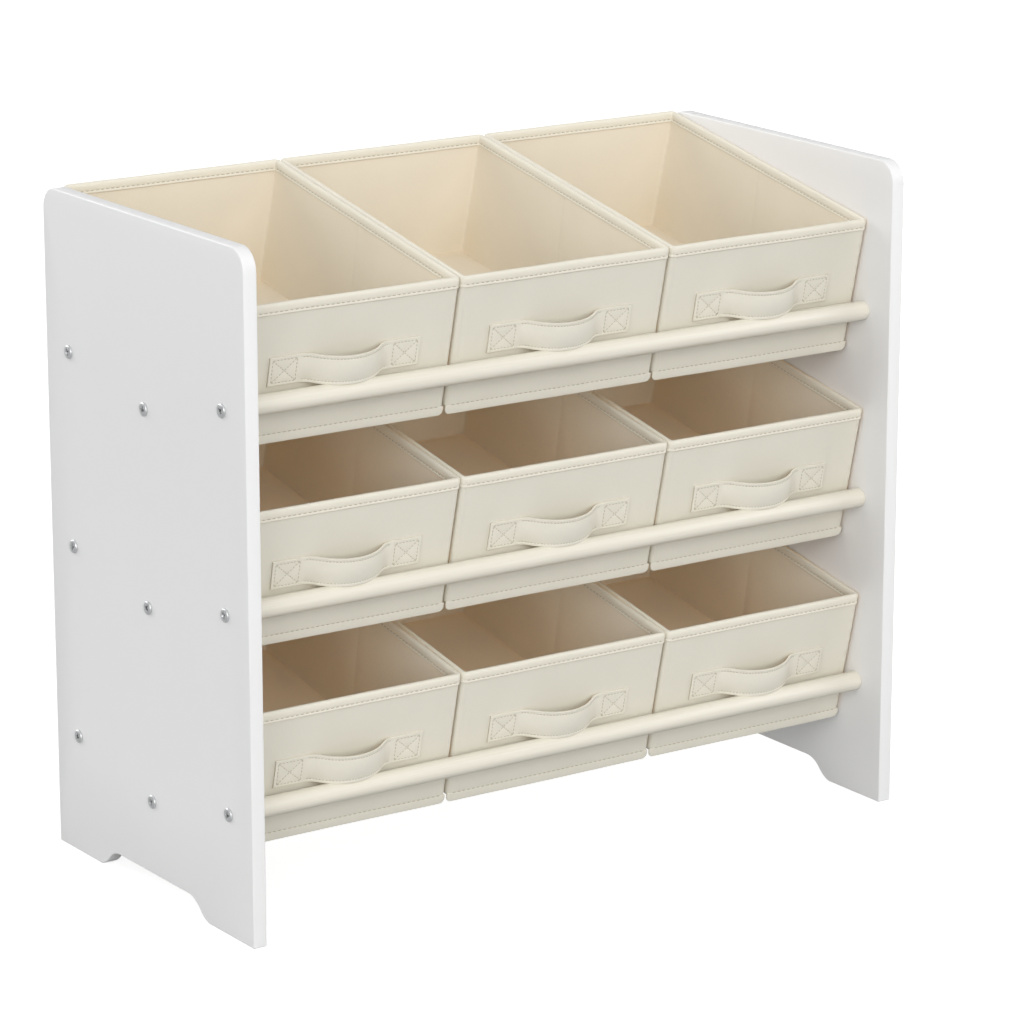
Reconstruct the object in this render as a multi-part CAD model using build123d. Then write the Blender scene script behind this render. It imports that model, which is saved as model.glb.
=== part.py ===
from build123d import *
import math
import os

# Sloping bin organiser: two painted side panels are held apart by nine round dowels, three to a tier.
# Each tier carries three soft fabric bins, which rest on its mid and rear dowels and lean down
# towards its front dowel.
#
# Millimetres. +Z is up and the front faces -Y. The origin is on the floor, below the middle of the
# whole object. Left and right are as seen from the front.

# Side panels
overall_width = 630.0
panel_height = 550.0
panel_depth = 308.0
panel_thickness = 12.0
panel_corner_radius = 18.0
arch_height = 16.0
arch_flat_half = 54.0
arch_foot_half = 91.0
arch_foot_dip = 0.6  # the arch's curve runs this far below the floor, so no edge is cut to a feather

# Dowels: front and rear ones are level, the mid one sits lower, which sets the slope
dowel_radius = 8.0
dowel_spacing = 118.5
dowel_drop = 22.8
mid_dowel_behind_centre = -1.5
tier_pitch = 160.5
bottom_mid_dowel_height = 77.2

# Screws through the panels into the dowels' ends
screw_head_radius = 5.5
screw_head_height = 1.8
screw_shank_radius = 2.4
screw_length = 46.0
screw_point = 1.6
screw_clearance = 0.05
cross_recess_span = 6.4
cross_recess_width = 1.3
cross_recess_depth = 1.1

# Bins, in the slope's own directions: "forward" is along the slope, "rise" is square to it, and both
# are counted from the mid dowel's axis and from the plane that the bin stands on
bin_gap = 0.8
bin_width = 200.6
bin_front = -97.8
bin_front_lean = 0.04  # the front wall leans forward this much for each unit of rise
bin_rear = 181.0
bin_rear_lean = 0.075
bin_rise = 113.5
bin_rest_gap = 0.3
bin_corner_radius = 4.0
hem_drop = 4.6
hem_thickness = 1.4

# A bin's wall, from the outside in: binding, cover, space for the boards, lining, binding
binding_thickness = 0.6
binding_drop = 9.0
cover_thickness = 0.8
wall_space = 1.8
lining_thickness = 0.6
wall_board_thickness = 1.6
board_corner_margin = 6.0
side_fold_gap = 3.0
base_space = 4.0
base_board_thickness = 3.8

# Carrying handle: a webbing strap with a flat sewn patch at each end and a free bowed span
handle_width = 24.0
handle_thickness = 2.0
handle_patch = 27.0
handle_half_span = 41.0
handle_bow = 15.0
handle_end_radius = 17.0
handle_rise = 57.2

tiers = ["bottom", "middle", "top"]
columns = ["left", "centre", "right"]
dowel_places = {"front": -1, "mid": 0, "rear": 1}

inner_width = overall_width - 2 * panel_thickness
slope = math.degrees(math.atan2(dowel_drop, dowel_spacing))
cover_width = bin_width - 2 * binding_thickness
wall_total = cover_thickness + wall_space + lining_thickness
lining_floor = cover_thickness + base_space
bin_stand = dowel_radius + bin_rest_gap


def rear_reach():
    """How far the hem at a bin's lower rear edge stands behind the panels' middle."""
    hem_forward = bin_rear + bin_rear_lean * hem_drop
    hem_rise = bin_stand - hem_drop
    angle = math.radians(slope)
    behind = hem_forward * math.cos(angle) - hem_rise * math.sin(angle)
    return mid_dowel_behind_centre + behind


# The bins' lower rear edges stand out behind the panels, so the whole object's middle lies
# behind the panels' middle by half of that overhang
panel_middle_y = -(rear_reach() - panel_depth / 2) / 2


def dowel_axis(tier, place):
    """Y and Z of a dowel's axis."""
    step = dowel_places[place]
    y = panel_middle_y + mid_dowel_behind_centre + step * dowel_spacing
    z = bottom_mid_dowel_height + tiers.index(tier) * tier_pitch + abs(step) * dowel_drop
    return y, z


def all_dowel_axes():
    return [dowel_axis(tier, place) for tier in tiers for place in dowel_places]


def ogee(start, end, first_radius):
    """Two tangent arcs that leave start level and reach end level."""
    run, rise = end[0] - start[0], end[1] - start[1]
    turn = 2 * math.atan(abs(rise / run))
    along = math.copysign(first_radius * math.sin(turn), run)
    across = math.copysign(first_radius * (1 - math.cos(turn)), rise)
    knee = (start[0] + along, start[1] + across)
    first = TangentArc(start, knee, tangent=(math.copysign(1, run), 0))
    second = TangentArc(knee, end, tangent=first % 1)
    return [first, second]


def arch_cutter():
    """The low arch cut out of a panel's foot, drawn in the panel's own plane."""
    run = arch_foot_half - arch_flat_half
    rise = arch_height + arch_foot_dip
    radius = (run * run + rise * rise) / (4 * rise)
    foot, flat = (arch_foot_half, -arch_foot_dip), (arch_flat_half, arch_height)
    curve = ogee(foot, flat, radius)
    curve.append(Line(flat, (0, arch_height)))
    mirrored = [mirror(edge, Plane.YZ) for edge in curve]
    closing = Line((-arch_foot_half, -arch_foot_dip), foot)
    return make_face(curve + mirrored + [closing])


def side_panel(outer_x):
    """One side panel. outer_x is its outer face, on either side of the middle."""
    board = Pos(0, panel_height / 2) * Rectangle(panel_depth, panel_height)
    top_corners = board.vertices().filter_by(lambda corner: corner.Y > panel_height / 2)
    board = fillet(top_corners, panel_corner_radius) - arch_cutter()
    inward = -math.copysign(panel_thickness, outer_x)
    place = Plane(origin=(outer_x, panel_middle_y, 0), x_dir=(0, 1, 0), z_dir=(1, 0, 0))
    panel = extrude(place * board, inward)
    for y, z in all_dowel_axes():
        hole = Cylinder(screw_shank_radius + screw_clearance, 3 * panel_thickness)
        panel -= Pos(outer_x, y, z) * Rot(Y=90) * hole
    return panel


def dowel(tier, place):
    """A dowel that fits between the panels, with a pilot hole for a screw in each end."""
    y, z = dowel_axis(tier, place)
    bar = Cylinder(dowel_radius, inner_width)
    pilot_depth = screw_length - panel_thickness + 2
    pilot = Cylinder(screw_shank_radius + screw_clearance, pilot_depth)
    for end in (-1, 1):
        bar -= Pos(Z=end * (inner_width - pilot_depth) / 2) * pilot
    return Pos(0, y, z) * Rot(Y=90) * bar


def screw():
    """A domed cross-head screw on the Z axis: its head stands above z = 0."""
    head = Pos(Z=screw_head_height / 2) * Cylinder(screw_head_radius, screw_head_height)
    head = fillet(head.edges().sort_by(Axis.Z)[-1], screw_head_height * 0.8)
    for turn in (0, 90):
        slot = Box(cross_recess_span, cross_recess_width, 2 * cross_recess_depth)
        head -= Pos(Z=screw_head_height) * Rot(Z=turn) * slot
    shank = Pos(Z=-screw_length / 2) * Cylinder(screw_shank_radius, screw_length)
    shank = chamfer(shank.edges().sort_by(Axis.Z)[0], screw_point)
    return head + shank


def panel_screws(outer_x):
    """The nine screws of one panel, as separate solids."""
    turn = math.copysign(90, outer_x)
    return [Pos(outer_x, y, z) * Rot(Y=turn) * screw() for y, z in all_dowel_axes()]


def wall_line(fraction, shift=0.0):
    """A line across the slope: 0 is the front wall, 1 the rear wall. Gives its start and its lean."""
    start = bin_front + fraction * (bin_rear - bin_front)
    lean = bin_front_lean + fraction * (bin_rear_lean - bin_front_lean)
    return start + shift, lean


def leaning_block(x_range, front_line, rear_line, rise_range):
    """A block with level faces whose ends follow two wall lines."""
    low, high = rise_range
    corners = [
        (front_line[0] - front_line[1] * low, low),
        (rear_line[0] - rear_line[1] * low, low),
        (rear_line[0] - rear_line[1] * high, high),
        (front_line[0] - front_line[1] * high, high),
    ]
    side = Plane.YZ * make_face(Polyline(*corners, close=True))
    return Pos(X=x_range[0]) * extrude(side, x_range[1] - x_range[0])


def bin_block(inset, low, high, corner=0.0, round_base=False):
    """A block that follows the bin's outline, in the slope's directions.

    inset is measured inwards from the cover's outer face, low and high are its rises.
    """
    half_width = cover_width / 2 - inset
    x_range = (-half_width, half_width)
    block = leaning_block(x_range, wall_line(0, inset), wall_line(1, -inset), (low, high))
    if corner > 0:
        block = fillet(block.edges().filter_by(lambda edge: abs((edge % 0.5).Z) > 0.5), corner)
    if round_base:
        block = fillet(block.faces().sort_by(Axis.Z)[0].edges(), corner)
    return block


def bin_hem(front_line, rear_line):
    """A sewn edge that hangs below a wall, with rounded lower corners."""
    x_range = (-cover_width / 2, cover_width / 2)
    hem = leaning_block(x_range, front_line, rear_line, (-hem_drop, bin_corner_radius))
    lower = hem.edges().group_by(Axis.Z)[0].filter_by(lambda edge: edge.length < 2 * hem_thickness)
    return fillet(lower, hem_drop - 0.1)


def bin_cover():
    """The outer fabric: four walls, the underside, and a hem below the front and rear walls."""
    top = bin_rise - binding_thickness
    inner_corner = bin_corner_radius - cover_thickness
    outside = bin_block(0, 0, top, bin_corner_radius, round_base=True)
    inside = bin_block(cover_thickness, cover_thickness, top + 1, inner_corner, round_base=True)
    cover = outside - inside
    cover += bin_hem(wall_line(0), wall_line(0, hem_thickness))
    cover += bin_hem(wall_line(1, -hem_thickness), wall_line(1))
    return cover


def bin_lining():
    """The inner fabric: four walls and the floor over the base board."""
    top = bin_rise - binding_thickness
    outer_inset = cover_thickness + wall_space
    outside = bin_block(outer_inset, lining_floor, top, bin_corner_radius - outer_inset)
    inside = bin_block(wall_total, lining_floor + cover_thickness, top + 1, lining_thickness)
    return outside - inside


def bin_binding():
    """The folded strip sewn over the top edges of the cover and the lining."""
    low = bin_rise - binding_drop
    folded_top = bin_rise - binding_thickness
    strip = bin_block(-binding_thickness, low, bin_rise, bin_corner_radius + binding_thickness)
    strip -= bin_block(wall_total + binding_thickness, low - 1, bin_rise + 1)
    strip = fillet(strip.faces().sort_by(Axis.Z)[-1].edges(), binding_thickness)
    walls = bin_block(0, low - 1, folded_top, bin_corner_radius)
    walls -= bin_block(wall_total, low - 2, folded_top + 1, lining_thickness)
    return strip - walls


def wall_boards():
    """The stiff boards in the wall pockets: one in front, one behind, two in each folding side."""
    rises = (cover_thickness + bin_corner_radius, bin_rise - 2 * binding_thickness)
    outer = cover_thickness + (wall_space - wall_board_thickness) / 2
    inner = outer + wall_board_thickness
    half_width = cover_width / 2
    ends = (-half_width + board_corner_margin, half_width - board_corner_margin)
    boards = [
        leaning_block(ends, wall_line(0, outer), wall_line(0, inner), rises),
        leaning_block(ends, wall_line(1, -inner), wall_line(1, -outer), rises),
    ]
    halves = [
        (wall_line(0, board_corner_margin), wall_line(0.5, -side_fold_gap / 2)),
        (wall_line(0.5, side_fold_gap / 2), wall_line(1, -board_corner_margin)),
    ]
    for x_range in ((-half_width + outer, -half_width + inner), (half_width - inner, half_width - outer)):
        for front_line, rear_line in halves:
            boards.append(leaning_block(x_range, front_line, rear_line, rises))
    return boards


def bin_boards():
    """All the boards of one bin, as separate solids: six in the walls and one under the lining."""
    low = cover_thickness + (base_space - base_board_thickness) / 2
    base = bin_block(cover_thickness + bin_corner_radius, low, low + base_board_thickness)
    return wall_boards() + [base]


def bin_handle():
    """The strap on the front wall, drawn from above and as tall as the webbing is wide."""
    outer_end = handle_half_span + handle_patch
    inner_arcs = ogee((handle_half_span, 0), (0, handle_bow), handle_end_radius)
    skin = handle_thickness
    outer_arcs = ogee((handle_half_span, skin), (0, handle_bow + skin), handle_end_radius - skin)
    half = [
        Line((outer_end, skin), (outer_end, 0)),
        Line((outer_end, 0), (handle_half_span, 0)),
        Line((outer_end, skin), (handle_half_span, skin)),
    ]
    half += inner_arcs + outer_arcs
    outline = make_face(half + [mirror(edge, Plane.YZ) for edge in half])
    strap = extrude(outline, handle_width / 2, both=True)
    against_wall = bin_front - bin_front_lean * handle_rise
    lean = math.degrees(math.atan(bin_front_lean))
    return Pos(0, against_wall, handle_rise) * Rot(X=lean) * Rot(Z=180) * strap


def bin_place(tier, column):
    """Where a bin stands: square to the slope, on the mid and rear dowels."""
    y, z = dowel_axis(tier, "mid")
    x = (columns.index(column) - 1) * (bin_width + bin_gap)
    return Pos(x, y, z) * Rot(X=slope) * Pos(Z=bin_stand)


def save(name, solids):
    """Write one node: a single solid, or a group of separate ones."""
    group = solids if isinstance(solids, list) else [solids]
    export_step(Compound(children=group) if len(group) > 1 else group[0], f"parts/{name}.step")


os.makedirs("parts", exist_ok=True)

half_width = overall_width / 2
for side, outer_x in (("left", -half_width), ("right", half_width)):
    save(f"{side}_side_panel", side_panel(outer_x))
    save(f"{side}_screws", panel_screws(outer_x))

for tier in tiers:
    for place in dowel_places:
        save(f"{tier}_{place}_dowel", dowel(tier, place))

bin_pieces = {
    "cover": [bin_cover()],
    "lining": [bin_lining()],
    "binding": [bin_binding()],
    "boards": bin_boards(),
    "handle": [bin_handle()],
}
for tier in tiers:
    for column in columns:
        stand = bin_place(tier, column)
        for piece, solids in bin_pieces.items():
            save(f"{tier}_{column}_bin_{piece}", [stand * solid for solid in solids])

print("slope", round(slope, 3), "panel middle y", round(panel_middle_y, 4))
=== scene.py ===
# %% [markdown]
# # A sloping organiser with nine fabric bins
#
# Two white side panels are held apart by nine round dowels, and nine soft cream bins lean on them.
# The CAD frame already says where every piece is and how it moves. This lesson gives each piece the
# shape and the finish that the eye expects: eased edges, folded and stitched cloth, lacquer and zinc.
# Everything is in metres, in the frame's own axes: +X to the right, +Y to the back, +Z up.

# %% Load the frame
import math

import bmesh
import bpy
from mathutils import Matrix, Vector, noise


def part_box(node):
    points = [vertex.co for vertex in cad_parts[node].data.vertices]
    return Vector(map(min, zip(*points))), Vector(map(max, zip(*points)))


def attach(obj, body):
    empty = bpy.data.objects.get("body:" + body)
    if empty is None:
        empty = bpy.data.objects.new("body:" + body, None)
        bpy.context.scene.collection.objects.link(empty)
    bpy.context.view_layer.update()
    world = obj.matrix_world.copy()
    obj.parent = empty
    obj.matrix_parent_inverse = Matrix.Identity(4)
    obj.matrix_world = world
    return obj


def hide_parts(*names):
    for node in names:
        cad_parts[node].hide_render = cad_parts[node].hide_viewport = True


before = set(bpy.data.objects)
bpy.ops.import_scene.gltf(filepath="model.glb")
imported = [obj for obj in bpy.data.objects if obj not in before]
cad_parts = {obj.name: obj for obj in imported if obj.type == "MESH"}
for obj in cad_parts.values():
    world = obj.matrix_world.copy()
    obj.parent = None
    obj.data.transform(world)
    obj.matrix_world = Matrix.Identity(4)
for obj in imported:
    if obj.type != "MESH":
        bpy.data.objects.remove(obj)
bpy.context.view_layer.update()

MM = 0.001
TIERS = ("bottom", "middle", "top")
COLUMNS = ("left", "centre", "right")
DOWEL_PLACES = ("front", "mid", "rear")

# %% [markdown]
# ## Camera
#
# Furniture is often shown from a little above and from one side with a long lens, so that its upright
# lines stay nearly parallel. A camera could be placed by its coordinates, but a point to look at, two
# angles and a distance say more plainly where it stands.

# %% Camera
camera_aim = Vector((0.025, -0.021, 0.2655))
camera_turn = math.radians(34.416)     # to the left of the front
camera_pitch = math.radians(15.158)    # downwards
camera_distance = 3.635
camera_lens = 155.16                   # millimetres, on a sensor 36 mm wide

bpy.ops.object.select_all(action="DESELECT")
bpy.ops.object.camera_add(rotation=(math.pi / 2 - camera_pitch, 0, -camera_turn))
camera = bpy.context.object
camera.data.lens = camera_lens
camera.data.clip_end = 100
backwards = camera.rotation_euler.to_matrix() @ Vector((0, 0, 1))
camera.location = camera_aim + camera_distance * backwards
bpy.context.scene.camera = camera
print("camera at", [round(value, 3) for value in camera.location])

# %% [markdown]
# ## Tools for the bench
#
# A few small helpers keep the later cells short: one adds a primitive and opens it for editing, one
# selects by place, one slices a shape so that it can bend softly, and one applies a modifier. The
# cutting, beveling and moving itself is done by Blender's own operators, as it would be by hand.


# %% Modelling helpers
def open_cube(name, low, high):
    """Add a cube between two corners and open it in edit mode."""
    bpy.ops.object.select_all(action="DESELECT")
    low, high = Vector(low), Vector(high)
    bpy.ops.mesh.primitive_cube_add(size=1, location=(low + high) / 2, scale=high - low)
    bpy.context.object.name = name
    bpy.ops.object.transform_apply(location=True, rotation=True, scale=True)
    bpy.ops.object.mode_set(mode="EDIT")
    return bpy.context.object


def middle(part):
    """The middle of an edge or a face."""
    return sum((vertex.co for vertex in part.verts), Vector()) / len(part.verts)


def pick(kind, wanted):
    """In edit mode, select only the vertices, edges or faces that wanted() accepts."""
    bpy.ops.mesh.select_mode(type=kind)
    bpy.ops.mesh.select_all(action="DESELECT")
    mesh = bpy.context.edit_object.data
    shape = bmesh.from_edit_mesh(mesh)
    parts = {"VERT": shape.verts, "EDGE": shape.edges, "FACE": shape.faces}[kind]
    chosen = [part for part in parts if wanted(part)]
    for part in chosen:
        part.select_set(True)
    shape.select_flush_mode()
    bmesh.update_edit_mesh(mesh)
    return len(chosen)


def slice_across(axis, places):
    """Cut the open mesh square to one axis at each of the given places."""
    normal = Vector((axis == "X", axis == "Y", axis == "Z"))
    for place in places:
        bpy.ops.mesh.select_all(action="SELECT")
        bpy.ops.mesh.bisect(plane_co=normal * place, plane_no=normal)


def evenly(low, high, step):
    """Places between low and high, about one step apart, without the two ends."""
    count = max(1, round((high - low) / step))
    return [low + (high - low) * index / count for index in range(1, count)]


def close_up():
    """Leave edit mode and return the object."""
    bpy.ops.object.mode_set(mode="OBJECT")
    return bpy.context.object


def apply_modifier(obj, kind, **settings):
    modifier = obj.modifiers.new(kind, kind)
    for setting, value in settings.items():
        setattr(modifier, setting, value)
    bpy.context.view_layer.objects.active = obj
    bpy.ops.object.modifier_apply(modifier=modifier.name)


def smooth(obj, angle=40):
    """Shade smooth, but keep edges sharper than the angle crisp."""
    bpy.ops.object.select_all(action="DESELECT")
    obj.select_set(True)
    bpy.context.view_layer.objects.active = obj
    bpy.ops.object.shade_smooth_by_angle(angle=math.radians(angle))


def joined(name, objects):
    """Join several objects into one piece."""
    bpy.ops.object.select_all(action="DESELECT")
    for obj in objects:
        obj.select_set(True)
    bpy.context.view_layer.objects.active = objects[0]
    bpy.ops.object.join()
    objects[0].name = name
    return objects[0]


def copied(name, pattern, place):
    """A copy of a pattern piece, with its own mesh, moved to its place."""
    mesh = pattern.data.copy()
    mesh.transform(place)
    copy = bpy.data.objects.new(name, mesh)
    bpy.context.collection.objects.link(copy)
    return copy


def discard(*objects):
    for obj in objects:
        bpy.data.objects.remove(obj)


# %% [markdown]
# ## Tools for the finishes
#
# A material in Blender is a small web of nodes. One function adds a node with its settings and its
# links, and one turns the hex colours of a paint chart into the linear values that Blender mixes.
# Light that is trapped between near surfaces bounces many times and changes its tone, and little of it
# reaches deep hollows: another function paints that light and shade into a finish's colour, blending it
# towards a second tone where the ambient occlusion node finds such places.


# %% Material helpers
feeler_rays = 12         # how many rays feel for near surfaces at each point


def linear(hex_colour):
    """An sRGB hex colour as linear RGBA."""
    channels = [int(hex_colour[start:start + 2], 16) / 255 for start in (1, 3, 5)]
    mixed = [c / 12.92 if c <= 0.04045 else ((c + 0.055) / 1.055) ** 2.4 for c in channels]
    return (*mixed, 1.0)


def new_material(name, **shader_values):
    """A material whose principled shader has the given constant values."""
    material = bpy.data.materials.new(name)
    material.use_nodes = True
    shader = material.node_tree.nodes["Principled BSDF"]
    for socket, value in shader_values.items():
        shader.inputs[socket.replace("_", " ")].default_value = value
    return material, shader


def add_node(owner, kind, inputs=None, **settings):
    """Add a node. An input is a value, or another node's output socket to link."""
    node = owner.node_tree.nodes.new(kind)
    for setting, value in settings.items():
        setattr(node, setting, value)
    for socket, value in (inputs or {}).items():
        if isinstance(value, bpy.types.NodeSocket):
            owner.node_tree.links.new(value, node.inputs[socket])
        else:
            node.inputs[socket].default_value = value
    return node


def tint(material, shader, factor, light, dark):
    """Vary the base colour between two tones by a factor."""
    mix = add_node(material, "ShaderNodeMix", {"Factor": factor}, data_type="RGBA")
    mix.inputs["A"].default_value = linear(light)
    mix.inputs["B"].default_value = linear(dark)
    material.node_tree.links.new(mix.outputs["Result"], shader.inputs["Base Color"])
    return mix


def paint_recess_lighting(material, shader, tones, colour, reach, full_light):
    """Paint light and shade into recesses: blend the tones towards a colour where less than full_light
    gets in. reach is in metres.
    """
    way_out = add_node(material, "ShaderNodeAmbientOcclusion", {"Distance": reach}, samples=feeler_rays)
    lit = add_node(material, "ShaderNodeMapRange",
                   {"Value": way_out.outputs["AO"], "From Max": full_light})
    mix = add_node(material, "ShaderNodeMix", {"Factor": lit.outputs["Result"]}, data_type="RGBA")
    mix.inputs["A"].default_value = linear(colour)
    material.node_tree.links.new(tones.outputs["Result"], mix.inputs["B"])
    material.node_tree.links.new(mix.outputs["Result"], shader.inputs["Base Color"])


def emboss(material, shader, height, depth, strength=1.0):
    """Raise the surface by a height pattern: depth is in metres."""
    bump = add_node(material, "ShaderNodeBump",
                    {"Height": height, "Distance": depth, "Strength": strength})
    material.node_tree.links.new(bump.outputs["Normal"], shader.inputs["Normal"])


def per_metre(millimetres):
    """The texture scale that makes one feature this many millimetres wide."""
    return 1 / (millimetres * MM)


# %% [markdown]
# ## Floor and light
#
# A catalogue shot stands on a white light table, under a ceiling of soft boxes. The floor is one
# plane, because the camera never sees past it. Part of its white is its own glow, which only the
# camera sees: the table would otherwise flood the undersides with light. The ceiling is drawn in the
# sky, bright overhead and fading towards the horizon, so that faces that look up are the brightest.
# The camera itself sees the sky white, like the paper backdrop of a studio. Four wide suns stand for
# lamps: one in front, one on each side that reaches into the bins, and one behind that shines through
# the gaps between the tiers. A sun lights every depth of the scene evenly, which an area lamp would
# not. Standard view colours keep the whites neutral, and a few more bounces than usual let the light
# find its way round inside the bins.

# %% Floor and light
floor_size = 30.0
bpy.ops.mesh.primitive_plane_add(size=floor_size)
floor = bpy.context.object
floor.name = "studio_floor"

# Name, turn to the left of the front, rise, strength in watts per square metre
lamps = [
    ("lamp_in_front", 8, 20, 1.42),
    ("lamp_on_the_left", 55, 18, 1.02),
    ("lamp_on_the_right", -60, 16, 0.75),
    ("lamp_behind", 158, 24, 1.6),
]
lamp_spread = math.radians(40)
for name, turn, rise, strength in lamps:
    aim = (math.pi / 2 - math.radians(rise), 0, -math.radians(turn))
    bpy.ops.object.light_add(type="SUN", rotation=aim)
    lamp = bpy.context.object
    lamp.name = name
    lamp.data.energy = strength
    lamp.data.angle = lamp_spread
    print(name, strength, "W/m2")

sky_horizon = 0.2
sky_zenith = 0.8
sky_fade = 2.0           # how late the sky brightens on its way up
diffuse_bounces = 8
world = bpy.data.worlds.new("soft_box_ceiling")
world.use_nodes = True
direction = add_node(world, "ShaderNodeTexCoord").outputs["Generated"]
upward = add_node(world, "ShaderNodeSeparateXYZ", {"Vector": direction}).outputs["Z"]
above = add_node(world, "ShaderNodeMath", {0: upward, 1: 0.0}, operation="MAXIMUM").outputs["Value"]
fade = add_node(world, "ShaderNodeMath", {0: above, 1: sky_fade}, operation="POWER").outputs["Value"]
glow = add_node(world, "ShaderNodeMath", {0: fade, 1: sky_zenith - sky_horizon, 2: sky_horizon},
                operation="MULTIPLY_ADD").outputs["Value"]
background = world.node_tree.nodes["Background"]
background.inputs["Color"].default_value = (1, 1, 1, 1)
seen = add_node(world, "ShaderNodeLightPath").outputs["Is Camera Ray"]
shown = add_node(world, "ShaderNodeMix", {"Factor": seen, "A": glow, "B": 1.0}).outputs["Result"]
world.node_tree.links.new(shown, background.inputs["Strength"])
bpy.context.scene.world = world
bpy.context.scene.view_settings.view_transform = "Standard"
bpy.context.scene.cycles.diffuse_bounces = diffuse_bounces
print("sky", sky_horizon, "to", sky_zenith, "with", diffuse_bounces, "diffuse bounces")

table_glow = 0.82        # how much of the floor's white is its own
light_table, shader = new_material("opal_acrylic_light_table", Roughness=0.9)
place = add_node(light_table, "ShaderNodeTexCoord").outputs["Object"]
haze = add_node(light_table, "ShaderNodeTexNoise",
                {"Vector": place, "Scale": per_metre(400), "Detail": 2.0})
tint(light_table, shader, haze.outputs["Fac"], "#ACACAC", "#A8A8A8")
seen = add_node(light_table, "ShaderNodeLightPath").outputs["Is Camera Ray"]
glow = add_node(light_table, "ShaderNodeEmission", {"Color": (1, 1, 1, 1), "Strength": table_glow})
both = add_node(light_table, "ShaderNodeAddShader",
                {0: shader.outputs["BSDF"], 1: glow.outputs["Emission"]})
mixed = add_node(light_table, "ShaderNodeMixShader",
                 {"Fac": seen, 1: shader.outputs["BSDF"], 2: both.outputs["Shader"]})
output = light_table.node_tree.nodes["Material Output"]
light_table.node_tree.links.new(mixed.outputs["Shader"], output.inputs["Surface"])
floor.data.materials.append(light_table)

# %% [markdown]
# ### White lacquer on fibreboard
#
# The panels are 12 mm fibreboard, sprayed white and left semi-matt. Sprayed paint never dries quite
# flat: it keeps an orange-peel texture a few millimetres wide and a few hundredths of a millimetre
# deep, which breaks up reflections. A plain white shader would look like plastic foil, so a soft
# noise drives both the relief and a slight change of roughness.

# %% White lacquer
white_lacquer, shader = new_material("white_lacquer_on_fibreboard", IOR=1.5)
place = add_node(white_lacquer, "ShaderNodeTexCoord").outputs["Object"]
peel_width, cloud_width = 3.2, 140   # millimetres
peel = add_node(white_lacquer, "ShaderNodeTexNoise",
                {"Vector": place, "Scale": per_metre(peel_width), "Detail": 2.0})
clouds = add_node(white_lacquer, "ShaderNodeTexNoise",
                  {"Vector": place, "Scale": per_metre(cloud_width), "Detail": 3.0})
tint(white_lacquer, shader, clouds.outputs["Fac"], "#EAEAEA", "#E8E8E8")
gloss = add_node(white_lacquer, "ShaderNodeMapRange",
                 {"Value": peel.outputs["Fac"], "To Min": 0.42, "To Max": 0.54})
white_lacquer.node_tree.links.new(gloss.outputs["Result"], shader.inputs["Roughness"])
emboss(white_lacquer, shader, peel.outputs["Fac"], 0.03 * MM, 0.3)

# %% [markdown]
# ### Lacquered dowel
#
# The dowels are turned beech, sealed with a cream-white lacquer. The grain still shows as long, low
# ridges along the rod and as a hint of darker tone in the pores. Noise stretched along X gives both.
# A thin clear coat keeps the soft streak of light that runs along a satin rod.

# %% Lacquered dowel
dowel_lacquer, shader = new_material("cream_lacquer_on_beech", IOR=1.5, Coat_Weight=0.5,
                                     Coat_Roughness=0.22)
place = add_node(dowel_lacquer, "ShaderNodeTexCoord").outputs["Object"]
grain_length, grain_width = 90, 1.1   # millimetres; real beech pores are about a third as wide
stretch = (grain_width / grain_length, 1, 1)
along = add_node(dowel_lacquer, "ShaderNodeMapping", {"Vector": place, "Scale": stretch})
grain = add_node(dowel_lacquer, "ShaderNodeTexNoise",
                 {"Vector": along.outputs["Vector"], "Scale": per_metre(grain_width), "Detail": 4.0})
tint(dowel_lacquer, shader, grain.outputs["Fac"], "#E6E2D6", "#D7D1C1")
gloss = add_node(dowel_lacquer, "ShaderNodeMapRange",
                 {"Value": grain.outputs["Fac"], "To Min": 0.34, "To Max": 0.5})
dowel_lacquer.node_tree.links.new(gloss.outputs["Result"], shader.inputs["Roughness"])
emboss(dowel_lacquer, shader, grain.outputs["Fac"], 0.05 * MM, 0.45)

# %% [markdown]
# ### Zinc-plated steel
#
# Cheap furniture screws are barrel-plated with zinc, which leaves a pale grey, slightly cloudy metal.
# The reflections are blurred unevenly, so roughness follows a fine noise. The recess of the head gets
# painted shade: its colour turns nearly black where little light gets in. The default IOR is kept.

# %% Zinc-plated steel
zinc_steel, shader = new_material("zinc_plated_steel", Metallic=0.8)
place = add_node(zinc_steel, "ShaderNodeTexCoord").outputs["Object"]
bloom_width = 1.6                    # millimetres
bloom = add_node(zinc_steel, "ShaderNodeTexNoise",
                 {"Vector": place, "Scale": per_metre(bloom_width), "Detail": 5.0})
tones = tint(zinc_steel, shader, bloom.outputs["Fac"], "#E9EAEA", "#C4C6C8")
recess_shade_reach = 2.2 * MM
recess_shade_below = 0.75        # painted shade darkens the head where less than this share of the light gets in
# Painted shade: the recess of the head is blended towards near-black where little light gets in.
paint_recess_lighting(zinc_steel, shader, tones, "#1E1E1F", recess_shade_reach, recess_shade_below)
gloss = add_node(zinc_steel, "ShaderNodeMapRange",
                 {"Value": bloom.outputs["Fac"], "To Min": 0.26, "To Max": 0.48})
zinc_steel.node_tree.links.new(gloss.outputs["Result"], shader.inputs["Roughness"])
emboss(zinc_steel, shader, bloom.outputs["Fac"], 0.02 * MM, 0.4)

# %% [markdown]
# ### Spunbond cloth
#
# The bins are sewn from spunbond polypropylene: endless fibres laid at random and welded together in
# a grid of tiny points. The eye sees a matt, even cream with a faint pitted grid and stray fibres.
# The pattern has to follow each wall, so it reads the piece's own UV map, laid out in metres. The
# real weld grid is about 1 mm apart; it is drawn at 1.7 mm so that it can just be made out. Deep in a
# bin the light bounces from cream wall to cream wall and turns warmer each time, more than a few
# traced bounces show, so a warmer, lighter tone is painted into the recesses: painted bounce light.

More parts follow.
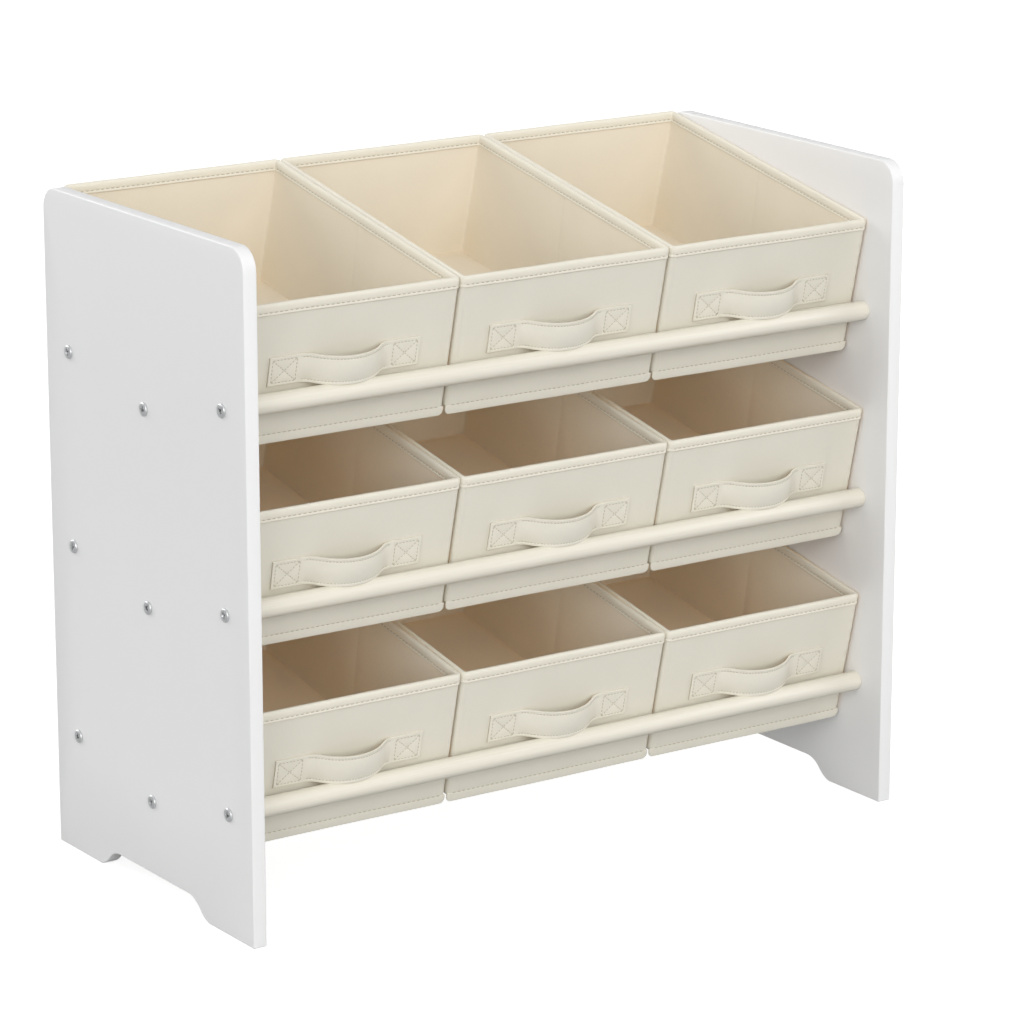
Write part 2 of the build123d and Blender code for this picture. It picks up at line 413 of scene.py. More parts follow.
# %% Spunbond cloth
weld_spacing = 1.7                   # millimetres, and so are the next two
fibre_width = 0.9
drift_width = 45
shaded_below = 0.18      # the cloth keeps its own tone where at least this share of the light gets in


def spunbond_cloth(name, light, dark, recess, recess_reach, relief=1.0):
    cloth, shader = new_material(name, Roughness=0.92, Sheen_Weight=0.12, Sheen_Roughness=0.5,
                                 Specular_IOR_Level=0.25)
    flat = add_node(cloth, "ShaderNodeUVMap").outputs["UV"]
    weld = add_node(cloth, "ShaderNodeTexVoronoi",
                    {"Vector": flat, "Scale": per_metre(weld_spacing), "Randomness": 0.0},
                    voronoi_dimensions="2D")
    pit = add_node(cloth, "ShaderNodeMapRange", {"Value": weld.outputs["Distance"], "From Max": 0.32})
    crossways = add_node(cloth, "ShaderNodeMapping", {"Vector": flat, "Scale": (1, 0.25, 1)})
    fibres = add_node(cloth, "ShaderNodeTexNoise",
                      {"Vector": crossways.outputs["Vector"], "Scale": per_metre(fibre_width),
                       "Detail": 5.0})
    drift = add_node(cloth, "ShaderNodeTexNoise",
                     {"Vector": flat, "Scale": per_metre(drift_width), "Detail": 2.0})
    blend = add_node(cloth, "ShaderNodeMath", {0: fibres.outputs["Fac"], 1: drift.outputs["Fac"]},
                     operation="MULTIPLY")
    tones = tint(cloth, shader, blend.outputs["Value"], light, dark)
    # Painted bounce light: the tones turn warmer and lighter where little light gets in.
    paint_recess_lighting(cloth, shader, tones, recess, recess_reach, shaded_below)
    height = add_node(cloth, "ShaderNodeMath", {0: pit.outputs["Result"], 1: fibres.outputs["Fac"]},
                      operation="ADD")
    emboss(cloth, shader, height.outputs["Value"], 0.05 * MM, 0.35 * relief)
    return cloth


# Each cloth's fourth colour is painted bounce light, the warmer, lighter tone painted into its recesses.
cover_cloth = spunbond_cloth("cream_spunbond_cover", "#DAD6C9", "#D0CCBE", "#EDD6B4", 40 * MM)
binding_cloth = spunbond_cloth("folded_spunbond_binding", "#E2DDCF", "#D6D2C4", "#FBE3BF", 230 * MM)
lining_cloth = spunbond_cloth("cream_spunbond_lining", "#E5DDCD", "#DBD2C0", "#FFE6C2", 230 * MM)
strap_cloth = spunbond_cloth("folded_spunbond_strap", "#DDD9CC", "#D2CDBF", "#EDD6B4", 20 * MM,
                             relief=1.3)
print("four cloths, from", cover_cloth.name, "to", strap_cloth.name)

# %% [markdown]
# ### Thread and grey board
#
# The seams are sewn with a twisted polyester thread: its two plies show as fine slanting ribs, drawn
# with a wave texture. Grey board is pressed waste paper, rough and flecked with darker fibres; it
# only shows if a bin is cut open.

# %% Thread and grey board
thread_finish, shader = new_material("twisted_polyester_thread", Roughness=0.6, Sheen_Weight=0.2)
place = add_node(thread_finish, "ShaderNodeTexCoord").outputs["Object"]
plies = add_node(thread_finish, "ShaderNodeTexWave",
                 {"Vector": place, "Scale": per_metre(3.0), "Distortion": 0.6},
                 bands_direction="DIAGONAL")
# The thread is toned darker than the cloth: a little of that is its own colour, and the rest is painted
# shade for the dips between the stitches.
tint(thread_finish, shader, plies.outputs["Fac"], "#C0B9A7", "#A69E8B")
emboss(thread_finish, shader, plies.outputs["Fac"], 0.05 * MM)

grey_board, shader = new_material("pressed_grey_board", Roughness=0.95)
place = add_node(grey_board, "ShaderNodeTexCoord").outputs["Object"]
flecks = add_node(grey_board, "ShaderNodeTexNoise",
                  {"Vector": place, "Scale": per_metre(1.5), "Detail": 6.0})
tint(grey_board, shader, flecks.outputs["Fac"], "#B9B2A6", "#8D867A")
emboss(grey_board, shader, flecks.outputs["Fac"], 0.1 * MM, 0.5)

print("the last two finishes:", thread_finish.name, "and", grey_board.name)

# %% [markdown]
# ## Side panels
#
# A sprayed board has eased edges: sandpaper takes off about a millimetre before the paint goes on, and
# that small round is what catches the light. The CAD board has the right outline but razor edges, so
# its mesh is copied, its loose triangles are merged, and its sharp edges are beveled. The edges of the
# screw holes are left alone, because the screw heads cover them.


# %% Side panels
def dowel_axis(tier, place):
    """The middle of a dowel, from its box in the frame."""
    low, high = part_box(f"{tier}_{place}_dowel")
    return (Vector(low) + Vector(high)) / 2


dowel_axes = [dowel_axis(tier, place) for tier in TIERS for place in DOWEL_PLACES]
panel_edge_round = 1.0 * MM
hole_reach = 4 * MM


def beside_hole(edge):
    """True for an edge that lies round a screw hole."""
    spot = middle(edge)
    return any(math.hypot(spot.y - axis.y, spot.z - axis.z) < hole_reach for axis in dowel_axes)


def is_sharp(edge):
    return len(edge.link_faces) == 2 and edge.calc_face_angle() > math.radians(50)


for side in ("left", "right"):
    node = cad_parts[f"{side}_side_panel"]
    panel = bpy.data.objects.new(f"{side}_painted_panel", node.data.copy())
    bpy.context.collection.objects.link(panel)
    bpy.ops.object.select_all(action="DESELECT")
    panel.select_set(True)
    bpy.context.view_layer.objects.active = panel
    bpy.ops.object.mode_set(mode="EDIT")
    bpy.ops.mesh.select_all(action="SELECT")
    bpy.ops.mesh.remove_doubles(threshold=0.001 * MM)
    bpy.ops.mesh.dissolve_limited(angle_limit=math.radians(0.5))
    count = pick("EDGE", lambda edge: is_sharp(edge) and not beside_hole(edge))
    bpy.ops.mesh.bevel(offset=panel_edge_round, segments=3, affect="EDGES")
    bpy.ops.mesh.customdata_custom_splitnormals_clear()
    close_up()
    smooth(panel, 35)
    panel.data.materials.clear()
    panel.data.materials.append(white_lacquer)
    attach(panel, "frame")
    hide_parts(f"{side}_side_panel")
    print(panel.name, count, "edges eased,", len(panel.data.polygons), "faces")

# %% [markdown]
# ## Dowels
#
# A dowel could stay a plain cylinder, but a cut rod has its ends chamfered so that it enters a jig
# cleanly, and the little dark ring where it meets the panel comes from that chamfer. One rod is made
# on the X axis, and nine copies take their places.

# %% Dowels
low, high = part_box("top_front_dowel")
rod_length = high[0] - low[0]
rod_radius = (high[2] - low[2]) / 2
rod_end_round = 0.9 * MM

bpy.ops.object.select_all(action="DESELECT")
bpy.ops.mesh.primitive_cylinder_add(vertices=64, radius=rod_radius, depth=rod_length,
                                    rotation=(0, math.pi / 2, 0))
bpy.ops.object.transform_apply(location=True, rotation=True, scale=True)
bpy.ops.object.mode_set(mode="EDIT")
pick("EDGE", is_sharp)
bpy.ops.mesh.bevel(offset=rod_end_round, segments=3, affect="EDGES")
rod = close_up()
smooth(rod, 50)
rod.data.materials.append(dowel_lacquer)
for tier in TIERS:
    for place in DOWEL_PLACES:
        dowel = copied(f"{tier}_{place}_rod", rod, Matrix.Translation(dowel_axis(tier, place)))
        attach(dowel, "frame")
        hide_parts(f"{tier}_{place}_dowel")
discard(rod)
print("9 dowels,", round(rod_length / MM, 1), "mm long")

# %% [markdown]
# ## Screws
#
# Each dowel is pulled tight by a pan-head screw with a cross recess. The head could be painted on,
# but its small dark cross is one of the few details on the big plain panel, so it is cut for real:
# a beveled disc, less a cross of two tapered blades. Nobody stops nine screws at the same angle, so
# each one is turned differently.

# %% Screws
panel_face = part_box("right_side_panel")[1][0]
screws_low, screws_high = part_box("right_screws")
head_height = screws_high[0] - panel_face
shank_length = panel_face - screws_low[0]
head_radius = 5.5 * MM
head_round = 0.55 * head_height
shank_radius = 2.3 * MM
blade_span = 7.2 * MM
blade_width = 2.0 * MM
blade_foot = 0.55          # the recess narrows to this share of its mouth
recess_depth = 1.65 * MM

bpy.ops.object.select_all(action="DESELECT")
bpy.ops.mesh.primitive_cylinder_add(vertices=40, radius=head_radius, depth=head_height,
                                    location=(0, 0, head_height / 2))
head = bpy.context.object
bpy.ops.object.transform_apply(location=True, rotation=True, scale=True)
bpy.ops.object.mode_set(mode="EDIT")
pick("EDGE", lambda edge: is_sharp(edge) and middle(edge).z > head_height / 2)
bpy.ops.mesh.bevel(offset=head_round, segments=4, affect="EDGES")
close_up()

for turn in (0, 90):
    low = Vector((-blade_span / 2, -blade_width / 2, head_height - recess_depth))
    blade = open_cube("blade", low, (blade_span / 2, blade_width / 2, head_height + recess_depth))
    pick("FACE", lambda face: face.normal.z < -0.5)
    bpy.ops.transform.resize(value=(blade_foot, blade_foot, 1))
    close_up()
    blade.rotation_euler.z = math.radians(turn)
    bpy.ops.object.transform_apply(location=True, rotation=True, scale=True)
    apply_modifier(head, "BOOLEAN", object=blade, operation="DIFFERENCE", solver="EXACT")
    discard(blade)

bpy.ops.object.select_all(action="DESELECT")
bpy.ops.mesh.primitive_cylinder_add(vertices=20, radius=shank_radius, depth=shank_length,
                                    location=(0, 0, -shank_length / 2))
shank = bpy.context.object
bpy.ops.object.transform_apply(location=True, rotation=True, scale=True)
bpy.ops.object.mode_set(mode="EDIT")
pick("FACE", lambda face: face.normal.z < -0.5)
bpy.ops.mesh.bevel(offset=shank_radius * 0.7, segments=2, affect="EDGES")
close_up()
screw = joined("screw", [head, shank])
smooth(screw, 35)
screw.data.materials.append(zinc_steel)
screw_turn = 37          # degrees, from one screw to the next
for side, face_x, tilt in (("left", -panel_face, -90), ("right", panel_face, 90)):
    copies = []
    for index, axis in enumerate(dowel_axes):
        roll = Matrix.Rotation(math.radians(screw_turn * index), 4, "Z")
        stand = Matrix.Rotation(math.radians(tilt), 4, "Y")
        spot = Matrix.Translation((face_x, axis.y, axis.z))
        copies.append(copied(f"{side}_screw_{index}", screw, spot @ stand @ roll))
    screws = joined(f"{side}_cross_head_screws", copies)
    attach(screws, "frame")
    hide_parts(f"{side}_screws")
discard(screw)
print("18 screws, heads", round(head_height / MM, 1), "mm high")

# %% [markdown]
# ## The bin's own frame
#
# All nine bins are alike and lean by the same angle, so one bin is modelled upright and copied. In
# its own frame X runs across, Y from front to rear along the slope, and Z square to the slope. The
# slope comes from the mid and rear dowels; the walls' lines are read from the CAD cover's corners.


# %% Measure a bin
def bin_place(tier, column):
    """The matrix from a bin's own frame to its place on the dowels."""
    low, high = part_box(f"{tier}_{column}_bin_cover")
    across = (low[0] + high[0]) / 2
    axis = dowel_axis(tier, "mid")
    lean = Matrix.Rotation(slope, 4, "X")
    return Matrix.Translation((across, axis.y, axis.z)) @ lean @ Matrix.Translation((0, 0, stand_off))


rear_axis, mid_axis = dowel_axis("top", "rear"), dowel_axis("top", "mid")
slope = math.atan2(rear_axis.z - mid_axis.z, rear_axis.y - mid_axis.y)
seat_gap = 0.3 * MM
stand_off = rod_radius + seat_gap    # the bin stands this far from the mid dowel's axis
unlean = bin_place("top", "centre").inverted()


def own_points(piece):
    """The vertices of one CAD piece of the top centre bin, in the bin's own frame."""
    return [unlean @ vertex.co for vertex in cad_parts[f"top_centre_bin_{piece}"].data.vertices]


def span(points, axis):
    values = [point[axis] for point in points]
    return min(values), max(values)


cover_points = own_points("cover")
half_width = span(cover_points, 0)[1]
foot, seat = span(cover_points, 2)            # the hem's lower edge, and where the rim's fold begins
foot_front, foot_rear = span([p for p in cover_points if p.z < foot + 0.1 * MM], 1)
seat_front, seat_rear = span([p for p in cover_points if p.z > seat - 0.1 * MM], 1)
rim_top = span(own_points("binding"), 2)[1]
wall_thickness = 3.2 * MM
floor_rise = 5.6 * MM


def wall_line(foot_y, seat_y):
    """A wall's Y at any rise, from its Y at the foot and at the seat."""
    lean = (seat_y - foot_y) / (seat - foot)
    return lambda rise: foot_y + (rise - foot) * lean


front_at = wall_line(foot_front, seat_front)
rear_at = wall_line(foot_rear, seat_rear)
print("slope", round(math.degrees(slope), 2), "half width", round(half_width / MM, 1),
      "front", round(front_at(0) / MM, 1), round(front_at(seat) / MM, 1),
      "rear", round(rear_at(0) / MM, 1), round(rear_at(seat) / MM, 1), "rim", round(rim_top / MM, 1))


# %% [markdown]
# ## Cover
#
# The cover is five panels of cloth over stiff boards. Sewn corners are never sharp: the cloth turns
# over the boards' ends with a small radius, and a line of sewing pulls it in a little beside each
# upright corner of the front. Cloth simulation would add nothing, because boards hold the walls flat,
# so the shell is a cube with an open top, its walls leaned, its corners beveled and its sewn lines
# pressed in. Slices about a centimetre apart let it take soft waves later.


# %% Leaning boxes
def leaning_box(name, inset, low, high):
    """A box that follows the bin's leaning walls, open in edit mode."""
    half = half_width - inset
    start = (-half, front_at(low) + inset, low)
    box = open_cube(name, start, (half, rear_at(low) - inset, high))
    centre = (low + high) / 2
    for wall, direction in ((front_at, -1), (rear_at, 1)):
        pick("VERT", lambda vertex: vertex.co.z > centre and vertex.co.y * direction > 0)
        bpy.ops.transform.translate(value=(0, wall(high) - wall(low), 0))
    return box


def lay_flat(obj):
    """Give the piece a UV map in metres, wall by wall, for its cloth pattern."""
    bpy.ops.object.select_all(action="DESELECT")
    obj.select_set(True)
    bpy.context.view_layer.objects.active = obj
    bpy.ops.object.mode_set(mode="EDIT")
    bpy.ops.mesh.select_all(action="SELECT")
    bpy.ops.uv.cube_project(cube_size=1.0, correct_aspect=False)
    bpy.ops.object.mode_set(mode="OBJECT")


# %% Cover
corner_radius = 4 * MM
cloth_thickness = 0.8 * MM
slice_step = 12 * MM
seam_margin = 4.8 * MM      # from the front wall's side edge to the line of sewing beside it
seam_half_width = 1.2 * MM
seam_depth = 0.22 * MM
fold_half_width = 1.6 * MM
fold_depth = 0.55 * MM

cover = leaning_box("cover", 0, 0, seat)
pick("FACE", lambda face: face.normal.z > 0.5)
bpy.ops.mesh.delete(type="ONLY_FACE")
pick("EDGE", lambda edge: middle(edge).z < seat - 1 * MM)
bpy.ops.mesh.bevel(offset=corner_radius, segments=4, affect="EDGES")
seam_x = half_width - seam_margin
seam_cuts = [side * (seam_x + shift) for side in (-1, 1)
             for shift in (-seam_half_width, 0, seam_half_width)]
slice_across("X", evenly(-seam_x, seam_x, slice_step) + seam_cuts)
slice_across("Z", evenly(corner_radius, seat, slice_step))
fold_y = (front_at(0) + rear_at(0)) / 2
slice_across("Y", evenly(front_at(0), rear_at(seat), slice_step))


def on_seam(vertex):
    """True for a vertex on the sewn lines beside the front wall's upright corners."""
    near = abs(abs(vertex.co.x) - seam_x) < 0.01 * MM
    return near and abs(vertex.co.y - front_at(vertex.co.z)) < 0.2 * MM and vertex.co.z > corner_radius


count = pick("VERT", on_seam)
bpy.ops.transform.translate(value=(0, seam_depth, 0))
close_up()
apply_modifier(cover, "SOLIDIFY", thickness=cloth_thickness, offset=-1)
print("cover", len(cover.data.polygons), "faces,", count, "seam points")

# %% [markdown]
# ### Hems
#
# Below the front and rear walls the seam allowance hangs down as a short stiff hem, sewn through a
# few millimetres above its edge. It is a thin strip with rounded lower corners and a soft fold along
# its edge. Its upper edge sits at the row of stitches, so the two meet in a shallow groove.

# %% Hems
hem_thickness = 1.6 * MM
stitch_rise = 3.4 * MM
hem_corner = 4.6 * MM
hem_edge_round = 0.6 * MM
hem_proud = 0.15 * MM        # how far it stands in front of the wall


def hem(wall, inward):
    """The hem below one wall. inward is +1 for the front wall and -1 for the rear."""
    top = stitch_rise - 0.2 * MM
    near, far = sorted((wall(foot) - inward * hem_proud, wall(foot) + inward * hem_thickness))
    open_cube("hem", (-half_width, near, foot), (half_width, far, top))
    pick("VERT", lambda vertex: vertex.co.z > 0)
    bpy.ops.transform.translate(value=(0, wall(top) - wall(foot), 0))
    pick("EDGE", lambda edge: middle(edge).z < foot + 0.1 * MM
         and abs(middle(edge).x) > half_width - 0.1 * MM)
    bpy.ops.mesh.bevel(offset=hem_corner, segments=5, affect="EDGES")
    pick("EDGE", is_sharp)
    bpy.ops.mesh.bevel(offset=hem_edge_round, segments=3, affect="EDGES")
    slice_across("X", evenly(-half_width, half_width, slice_step))
    return close_up()


cover = joined("cover", [cover, hem(front_at, 1), hem(rear_at, -1)])
smooth(cover)
lay_flat(cover)
cover.data.materials.append(cover_cloth)
print("cover with hems", len(cover.data.polygons), "faces")

# %% [markdown]
# ## Lining
#
# Inside, a second layer of cloth hides the boards, and a covered board lies on the bottom. The side
# walls are creased halfway so that the bin folds flat, and the crease shows as a fine upright line.
# The lining is the same leaning box turned inside out, with the crease pressed in along a cut. The
# floor is a separate padded board with rounded edges, so a dark line runs all round it.

# %% Lining
lining_thickness = 0.6 * MM
lining_corner = 1.4 * MM
lining_low = floor_rise - 1.0 * MM
floor_gap = 0.7 * MM
floor_round = 0.8 * MM

lining = leaning_box("lining", wall_thickness, lining_low, seat)
pick("FACE", lambda face: face.normal.z > 0.5)
bpy.ops.mesh.delete(type="ONLY_FACE")
pick("EDGE", lambda edge: middle(edge).z < seat - 1 * MM)
bpy.ops.mesh.bevel(offset=lining_corner, segments=3, affect="EDGES")
inner_half = half_width - wall_thickness
slice_across("X", evenly(-inner_half, inner_half, slice_step))
slice_across("Z", evenly(lining_low + lining_corner, seat, slice_step))
slice_across("Y", evenly(front_at(seat), fold_y - fold_half_width, slice_step) + [
    fold_y - fold_half_width, fold_y, fold_y + fold_half_width,
] + evenly(fold_y + fold_half_width, rear_at(0), slice_step))
for side in (-1, 1):
    pick("VERT", lambda vertex: abs(vertex.co.y - fold_y) < 0.01 * MM
         and vertex.co.x * side > inner_half - 0.1 * MM and vertex.co.z > lining_low + lining_corner)
    bpy.ops.transform.translate(value=(side * fold_depth, 0, 0))
bpy.ops.mesh.select_all(action="SELECT")
bpy.ops.mesh.flip_normals()
close_up()
apply_modifier(lining, "SOLIDIFY", thickness=lining_thickness, offset=-1)

low_y = front_at(floor_rise) + wall_thickness + floor_gap
high_y = rear_at(floor_rise) - wall_thickness - floor_gap
reach = inner_half - floor_gap
board_low = lining_low + 0.1 * MM
floor_board = open_cube("floor_board", (-reach, low_y, board_low), (reach, high_y, floor_rise))
pick("FACE", lambda face: face.normal.z > 0.5)
bpy.ops.mesh.bevel(offset=floor_round, segments=3, affect="EDGES")
slice_across("X", evenly(-reach, reach, slice_step))
slice_across("Y", evenly(low_y, high_y, slice_step))
close_up()
lining = joined("lining", [lining, floor_board])
smooth(lining)
lay_flat(lining)
lining.data.materials.append(lining_cloth)
print("lining", len(lining.data.polygons), "faces")

# %% [markdown]
# ## Rim binding
#
# A strip of cloth is folded over the rim and sewn down through all the layers. The fold makes a soft
# round on top, the stitches pull a valley into each side, and below them the strip's free edge springs
# out as a thin lip. The section is drawn once as a closed curve and swept round the rim, which is a
# plane with its corners beveled and its edges turned into a curve.

# %% Rim binding
half_wall = wall_thickness / 2
strip_thickness = 0.6 * MM
# One side of the fold, from the top of the rim down, in millimetres: distance from the wall's middle,
# and drop. The stitches lie in the valley.
valley = (1.85, 6.7)
fold_side = [(0.0, 0.0), (1.2, 0.2), (2.0, 1.0), (2.3, 2.4), (2.35, 4.6), (2.2, 5.9),
             valley, (2.15, 7.5), (2.4, 8.2), (2.25, 9.0), (1.75, 9.3)]
outer_side = [(out * MM, -drop * MM) for out, drop in fold_side]
inner_side = [(half_wall, outer_side[-1][1]), (half_wall, -strip_thickness)]
right_side = outer_side + inner_side
section_points = right_side + [(-out, drop) for out, drop in reversed(right_side[1:])]

section_curve = bpy.data.curves.new("binding_section", "CURVE")
spline = section_curve.splines.new("POLY")
spline.points.add(len(section_points) - 1)
for point, (out, drop) in zip(spline.points, section_points):
    point.co = (out, drop, 0, 1)
spline.use_cyclic_u = True
section = bpy.data.objects.new("binding_section", section_curve)
bpy.context.collection.objects.link(section)

path_front = front_at(seat) + half_wall
path_rear = rear_at(seat) - half_wall
path_half = half_width - half_wall
path_radius = corner_radius - half_wall + 0.4 * MM

bpy.ops.object.select_all(action="DESELECT")
bpy.ops.mesh.primitive_plane_add(size=1, location=(0, (path_front + path_rear) / 2, rim_top))
binding = bpy.context.object
binding.scale = (2 * path_half, path_rear - path_front, 1)
bpy.ops.object.transform_apply(location=True, rotation=True, scale=True)
bpy.ops.object.mode_set(mode="EDIT")
bpy.ops.mesh.select_all(action="SELECT")
bpy.ops.mesh.bevel(offset=path_radius, segments=5, affect="VERTICES")
slice_across("X", evenly(-path_half, path_half, slice_step))
slice_across("Y", evenly(path_front, path_rear, slice_step))
bpy.ops.mesh.select_all(action="SELECT")
bpy.ops.mesh.dissolve_faces()
bpy.ops.mesh.select_all(action="SELECT")
bpy.ops.mesh.delete(type="ONLY_FACE")
close_up()
bpy.ops.object.convert(target="CURVE")
binding.data.dimensions = "3D"
binding.data.twist_mode = "Z_UP"
binding.data.bevel_mode = "OBJECT"
binding.data.bevel_object = section
bpy.ops.object.convert(target="MESH")
binding = bpy.context.object
discard(section)
smooth(binding, 60)
lay_flat(binding)
binding.data.materials.clear()
binding.data.materials.append(binding_cloth)
low_z = min(vertex.co.z for vertex in binding.data.vertices)
high_z = max(vertex.co.z for vertex in binding.data.vertices)
print("binding", len(binding.data.polygons), "faces,",
      "rise", round(low_z / MM, 2), "to", round(high_z / MM, 2))

# %% [markdown]
# ## Strap handle
#
# Each bin is pulled out by a strap of folded cloth. Its two ends are sewn flat with a box and a cross,
# and the middle bows forward to make room for fingers. Half of it is modelled: a plane is inset for
# the box and poked for the cross, the fields between the seams are puffed up, and the strap's free
# edge is then extruded along two arcs, with the sewn line near each edge pressed in. A mirror makes
# the other half and a solidify its thickness.

# %% Strap handle
handle_points = own_points("handle")
strap_end = span(handle_points, 0)[1]
strap_low, strap_high = span(handle_points, 2)
strap_rise = (strap_low + strap_high) / 2
strap_width = 24 * MM
strap_thickness = 1.5 * MM
strap_reach = front_at(strap_rise) - span(handle_points, 1)[0]
bow_start = 41 * MM
bow = strap_reach - 2 * MM
seam_inset = 2.6 * MM       # from the strap's edges to the line of sewing
groove_half_width = 0.6 * MM
groove_depth = 0.35 * MM
puff = 0.3 * MM             # how far the fields between the seams swell
cross_inset = 0.9 * MM      # from a seam of the cross to its field
border_inset = 0.7 * MM     # from the outer seam to the border's field
strap_gap = 0.15 * MM       # between the strap and the wall
first_radius = 17 * MM
first_steps, second_steps = 5, 12

turn = 2 * math.atan(bow / bow_start)
second_radius = (bow - first_radius * (1 - math.cos(turn))) / (1 - math.cos(turn))
face_y = -(strap_thickness + strap_gap)
route = []
for step in range(1, first_steps + 1):
    angle = turn * step / first_steps
    sunk = first_radius * (1 - math.cos(angle))
    route.append((bow_start - first_radius * math.sin(angle), face_y - sunk))
for step in range(1, second_steps + 1):
    angle = turn * (1 - step / second_steps)
    route.append((second_radius * math.sin(angle), face_y - bow + second_radius * (1 - math.cos(angle))))

bpy.ops.object.select_all(action="DESELECT")
bpy.ops.mesh.primitive_plane_add(size=1, rotation=(math.pi / 2, 0, 0),
                                 location=((bow_start + strap_end) / 2, face_y, 0))
strap = bpy.context.object
strap.scale = (strap_end - bow_start, strap_width, 1)
bpy.ops.object.transform_apply(location=True, rotation=True, scale=True)
bpy.ops.object.mode_set(mode="EDIT")
bpy.ops.mesh.select_all(action="SELECT")
bpy.ops.mesh.inset(thickness=seam_inset)
bpy.ops.mesh.poke()
pick("FACE", lambda face: len(face.verts) == 3)
bpy.ops.mesh.inset(use_individual=True, thickness=cross_inset, depth=puff)
pick("FACE", lambda face: len(face.verts) == 4 and middle(face).x > bow_start + seam_inset
     and abs(middle(face).y - face_y) < 0.01 * MM
     and min(edge.calc_length() for edge in face.edges) > 2 * MM)
bpy.ops.mesh.inset(use_individual=True, thickness=border_inset, depth=puff * 0.8)
seam_line = strap_width / 2 - seam_inset
slice_across("Z", [side * seam_line + shift for side in (-1, 1)
                   for shift in (-groove_half_width, 0, groove_half_width)])
pick("EDGE", lambda edge: all(abs(vertex.co.x - bow_start) < 0.01 * MM for vertex in edge.verts))
here = Vector((bow_start, face_y))
for stop in route:
    step = Vector(stop) - here
    bpy.ops.mesh.extrude_edges_move(TRANSFORM_OT_translate={"value": (step.x, step.y, 0)})
    here = Vector(stop)
pick("VERT", lambda vertex: vertex.co.x < bow_start - 0.1 * MM
     and abs(abs(vertex.co.z) - seam_line) < 0.01 * MM)
bpy.ops.transform.translate(value=(0, groove_depth, 0))
close_up()
apply_modifier(strap, "MIRROR", use_clip=True, merge_threshold=0.05 * MM)
bpy.ops.object.mode_set(mode="EDIT")
bpy.ops.mesh.select_all(action="SELECT")
bpy.ops.mesh.normals_make_consistent(inside=False)
shape = bmesh.from_edit_mesh(strap.data)
facing_back = sum(face.normal.y > 0 for face in shape.faces) > len(shape.faces) / 2
if facing_back:
    bpy.ops.mesh.flip_normals()
close_up()
apply_modifier(strap, "SOLIDIFY", thickness=strap_thickness, offset=-1)
apply_modifier(strap, "BEVEL", width=0.35 * MM, segments=2, limit_method="ANGLE",
               angle_limit=math.radians(65))
wall_lean = math.atan2(front_at(0) - front_at(seat), seat)
strap_spot = Matrix.Translation((0, front_at(strap_rise), strap_rise))
strap_place = strap_spot @ Matrix.Rotation(wall_lean, 4, "X")
strap.data.transform(strap_place)
smooth(strap, 50)
lay_flat(strap)
strap.data.materials.append(strap_cloth)
print("strap", len(strap.data.polygons), "faces, bow", round(bow / MM, 1), "mm, flipped", facing_back)

# %% [markdown]
# ## Stitches
#
# Each stitch is a short bead of thread that dips into the cloth at both ends. One low sphere is
# stretched into a bead, an array repeats it along a row, and each row is turned to its seam. The
# valleys in the binding, the grooves of the hems and the seams of the straps get their rows in turn.

# %% Stitches
fine_thread = 0.36 * MM     # radius, on the straps
stout_thread = 0.5 * MM     # radius, on the rim and the hems
bead_share = 0.74           # of the pitch; the rest is the dip between two beads


def stitch_row(start, end, pitch, thread_radius, matrix=Matrix.Identity(4)):
    """A row of stitches from start to end."""
    start, end = matrix @ Vector(start), matrix @ Vector(end)
    run = end - start
    count = max(1, round(run.length / pitch))
    bpy.ops.object.select_all(action="DESELECT")
    bpy.ops.mesh.primitive_uv_sphere_add(segments=6, ring_count=4, radius=1,
                                         rotation=(0, math.pi / 2, 0))
    row = bpy.context.object
    bpy.ops.object.transform_apply(location=True, rotation=True, scale=True)
    row.scale = (pitch * bead_share / 2, thread_radius, thread_radius)
    row.location = (run.length / count / 2, 0, 0)
    bpy.ops.object.transform_apply(location=True, rotation=True, scale=True)
    apply_modifier(row, "ARRAY", count=count, use_relative_offset=False, use_constant_offset=True,
                   constant_offset_displace=(run.length / count, 0, 0))
    turn = run.to_track_quat("X", "Z").to_matrix().to_4x4()
    row.data.transform(Matrix.Translation(start) @ turn)
    return row


rim_pitch = 4.6 * MM
valley_out, valley_drop = (distance * MM for distance in valley)
rows = []
for out in (valley_out, -valley_out):
    x = path_half + out
    front, rear = path_front - out, path_rear + out
    rise = rim_top - valley_drop
    corners = [(-x, front, rise), (x, front, rise), (x, rear, rise), (-x, rear, rise)]
    ease = 3.5 * MM if out > 0 else 1 * MM
    for index, corner in enumerate(corners):
        start, end = Vector(corner), Vector(corners[(index + 1) % 4])
        along = (end - start).normalized() * ease
        rows.append(stitch_row(start + along, end - along, rim_pitch, stout_thread))

for wall, inward in ((front_at, 1), (rear_at, -1)):
    y = wall(stitch_rise) + inward * 0.05 * MM
    reach = half_width - hem_corner
    rows.append(stitch_row((-reach, y, stitch_rise), (reach, y, stitch_rise), rim_pitch, stout_thread))

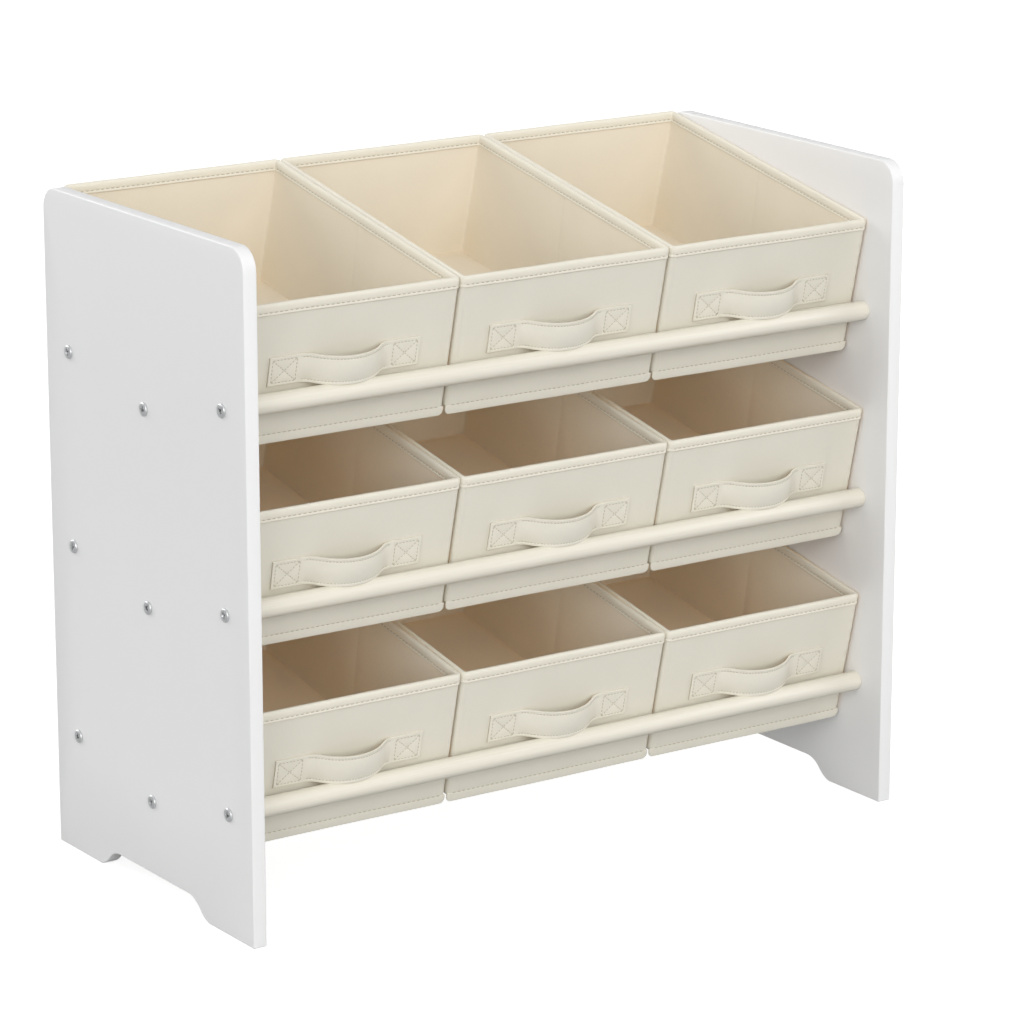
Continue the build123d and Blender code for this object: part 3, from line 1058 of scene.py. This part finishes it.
seam_y = face_y - 0.05 * MM
box_pitch = 3.0 * MM
for side in (-1, 1):
    near, far = side * (bow_start + seam_inset), side * (strap_end - seam_inset)
    corners = [(near, -seam_line), (far, -seam_line), (far, seam_line), (near, seam_line)]
    for first, last in ((0, 1), (1, 2), (2, 3), (3, 0), (0, 2), (1, 3)):
        ends = [(x, seam_y, z) for x, z in (corners[first], corners[last])]
        rows.append(stitch_row(*ends, box_pitch, fine_thread, strap_place))
    for start, end in zip(route, route[1:]):
        for rise in (-seam_line, seam_line):
            ends = [(side * x, y + groove_depth, rise) for x, y in (start, end)]
            rows.append(stitch_row(*ends, box_pitch, fine_thread, strap_place))
stitching = joined("stitching", rows)
smooth(stitching, 80)
stitching.data.materials.append(thread_finish)
print("stitching", len(rows), "rows,", len(stitching.data.polygons), "faces")

# %% [markdown]
# ## Nine bins
#
# The pattern bin is copied nine times. Cloth over board is never dead flat, so each copy is pushed by
# a slow noise field, about half a millimetre deep at most and some centimetres wide. All the pieces of
# a bin feel the same field, so cloth, binding, strap and stitches stay together. Blender takes the
# noise's seed from the clock unless it is given one, and the bins would wave differently in each run.

# %% Nine bins
wave_length = 75 * MM
wave_reach = Vector((0.2, 0.55, 0.3)) * MM
wave_seed = 5            # not 0, which means the clock
noise.seed_set(wave_seed)
pieces = {
    "cover": (cover, "bin_fabric", "cloth_cover"),
    "lining": (lining, "bin_lining_fabric", "cloth_lining"),
    "binding": (binding, "bin_fabric", "rim_binding"),
    "handle": (strap, "strap_webbing", "strap"),
    None: (stitching, "bin_fabric", "stitching"),
}
for tier_index, tier in enumerate(TIERS):
    for column_index, column in enumerate(COLUMNS):
        place = bin_place(tier, column)
        field = Vector((7.3 * tier_index, 3.1 * column_index, 1.7))
        for node_piece, (pattern, slot, name) in pieces.items():
            piece = copied(f"{tier}_{column}_{name}", pattern, Matrix.Identity(4))
            for vertex in piece.data.vertices:
                push = noise.noise_vector(vertex.co / wave_length + field)
                vertex.co += Vector(reach * amount for reach, amount in zip(wave_reach, push))
            piece.data.transform(place)
            body = f"{tier}_{column}_bin"
            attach(piece, body)
            if node_piece:
                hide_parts(f"{body}_{node_piece}")
        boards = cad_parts[f"{tier}_{column}_bin_boards"]
        boards.data.materials.clear()
        boards.data.materials.append(grey_board)
discard(*(pattern for pattern, slot, name in pieces.values()))
print("9 bins placed")
